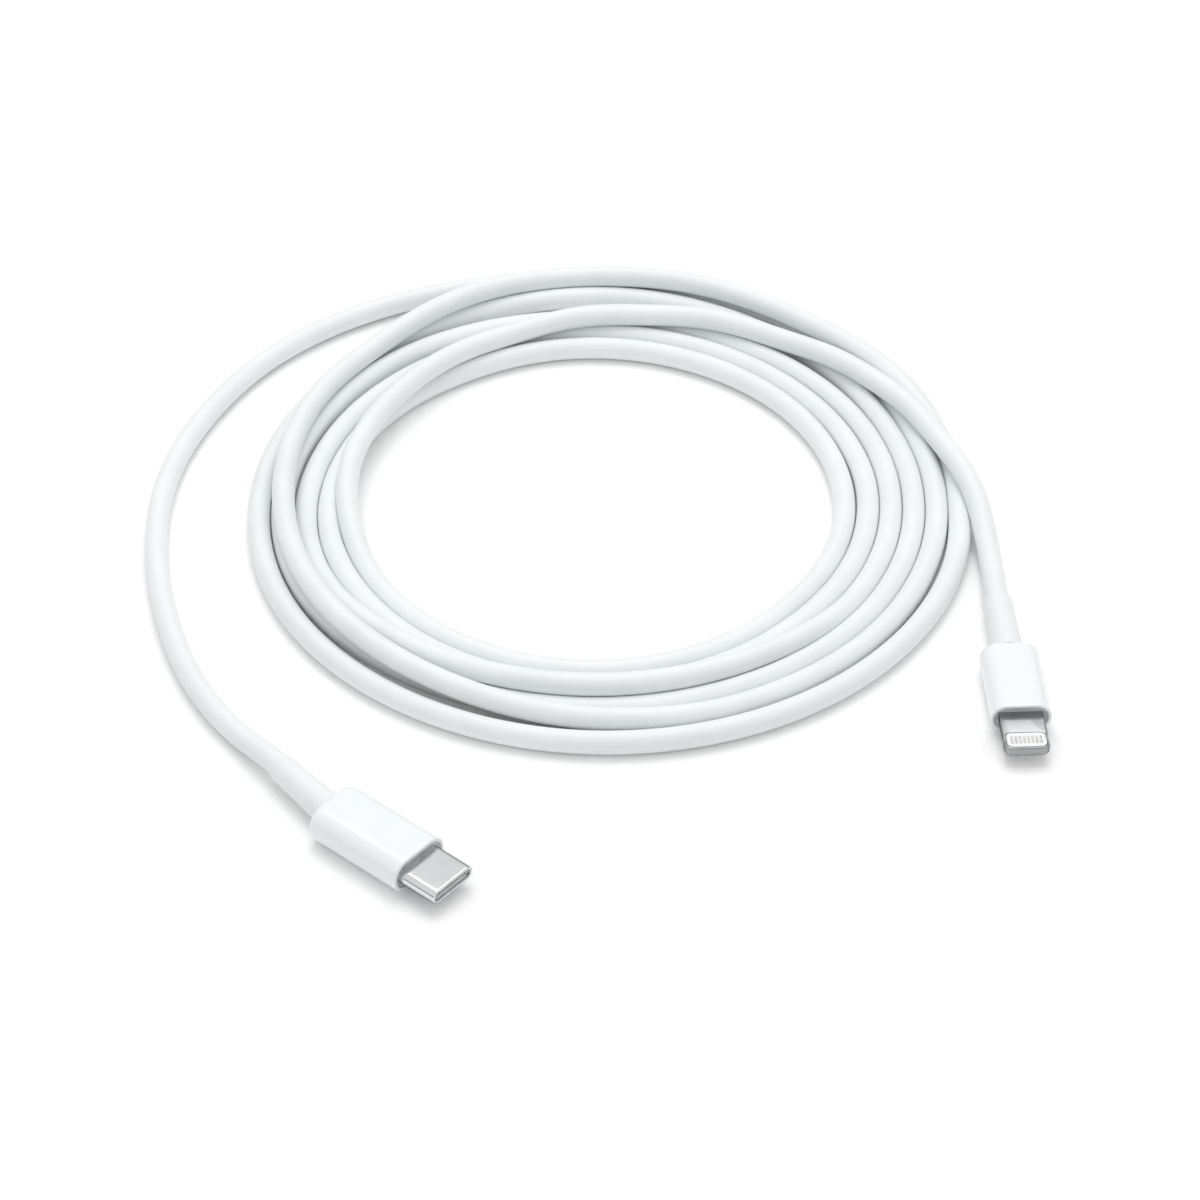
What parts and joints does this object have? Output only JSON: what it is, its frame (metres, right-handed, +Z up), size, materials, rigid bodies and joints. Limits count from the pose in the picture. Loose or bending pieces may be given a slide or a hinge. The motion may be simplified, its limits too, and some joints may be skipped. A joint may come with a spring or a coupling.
{
  "type": "charging cable",
  "caption": "Coiled round charging cable with a reversible plug at each end, one larger and one smaller, each with a hard housing and a strain relief.",
  "frame": {"origin": "on the surface the cable lies on, under the middle of the box round the two plugs with their strain reliefs", "axes": "+X from the charger plug's side towards the phone plug's side, +Y from the plugs towards the coil, +Z up"},
  "size_m": [0.1386, 0.154, 0.0086],
  "materials": {
    "cord_jacket": "satin",
    "housing_plastic": "gloss",
    "collar_plastic": "matt",
    "inner_mould_plastic": "matt",
    "polished_steel": "polished",
    "tongue_steel": "fine brushed",
    "stamped_steel": "satin",
    "board": "solder mask",
    "chip_plastic": "matt",
    "wire_sleeve": "matt",
    "insulator_plastic": "matt",
    "insert_plastic": "smooth",
    "gold_contact": "plated"
  },
  "bodies": {
    "cable": {"cord_coil": "cord_jacket", "cord_charger_tail": "cord_jacket", "cord_phone_tail": "cord_jacket", "charger_plug_housing": "housing_plastic", "charger_plug_strain_relief": "cord_jacket", "charger_plug_front_collar": "collar_plastic", "charger_plug_inner_mould": "inner_mould_plastic", "charger_plug_crimp_ring": "stamped_steel", "charger_plug_cord_end": "cord_jacket", "charger_plug_wires": "wire_sleeve", "charger_plug_shield_top": "stamped_steel", "charger_plug_shield_bottom": "stamped_steel", "charger_plug_board": "board", "charger_plug_chips": "chip_plastic", "charger_plug_steel_shell": "polished_steel", "charger_plug_insulator": "insulator_plastic", "charger_plug_upper_contacts": "gold_contact", "charger_plug_lower_contacts": "gold_contact", "charger_plug_mid_plate": "stamped_steel", "phone_plug_housing": "housing_plastic", "phone_plug_strain_relief": "cord_jacket", "phone_plug_front_collar": "collar_plastic", "phone_plug_inner_mould": "inner_mould_plastic", "phone_plug_crimp_ring": "stamped_steel", "phone_plug_cord_end": "cord_jacket", "phone_plug_wires": "wire_sleeve", "phone_plug_shield_top": "stamped_steel", "phone_plug_shield_bottom": "stamped_steel", "phone_plug_board": "board", "phone_plug_chips": "chip_plastic", "phone_plug_tongue_frame": "tongue_steel", "phone_plug_contact_insert": "insert_plastic", "phone_plug_upper_contacts": "gold_contact", "phone_plug_lower_contacts": "gold_contact"},
    "left_latch": {"charger_plug_left_latch": "stamped_steel"},
    "right_latch": {"charger_plug_right_latch": "stamped_steel"},
    "top_ground_spring": {"charger_plug_top_ground_spring": "stamped_steel"},
    "bottom_ground_spring": {"charger_plug_bottom_ground_spring": "stamped_steel"}
  },
  "joints": [
    {"name": "left_latch_flex", "type": "hinge", "parent": "cable", "child": "left_latch", "pos_m": [-0.03458, -0.02122, 0.0028], "axis": [0, 0, 1], "range_deg": [0, 1.5], "stiffness_Nm_per_rad": 0.004},
    {"name": "right_latch_flex", "type": "hinge", "parent": "cable", "child": "right_latch", "pos_m": [-0.03907, -0.02646, 0.0028], "axis": [0, 0, 1], "range_deg": [-1.5, 0], "stiffness_Nm_per_rad": 0.004},
    {"name": "top_spring_flex", "type": "hinge", "parent": "cable", "child": "top_ground_spring", "pos_m": [-0.03439, -0.02592, 0.00352], "axis": [-0.6494, -0.7604, 0], "range_deg": [0, 0.8], "stiffness_Nm_per_rad": 0.004},
    {"name": "bottom_spring_flex", "type": "hinge", "parent": "cable", "child": "bottom_ground_spring", "pos_m": [-0.03439, -0.02592, 0.00208], "axis": [-0.6494, -0.7604, 0], "range_deg": [-0.8, 0], "stiffness_Nm_per_rad": 0.004}
  ]
}
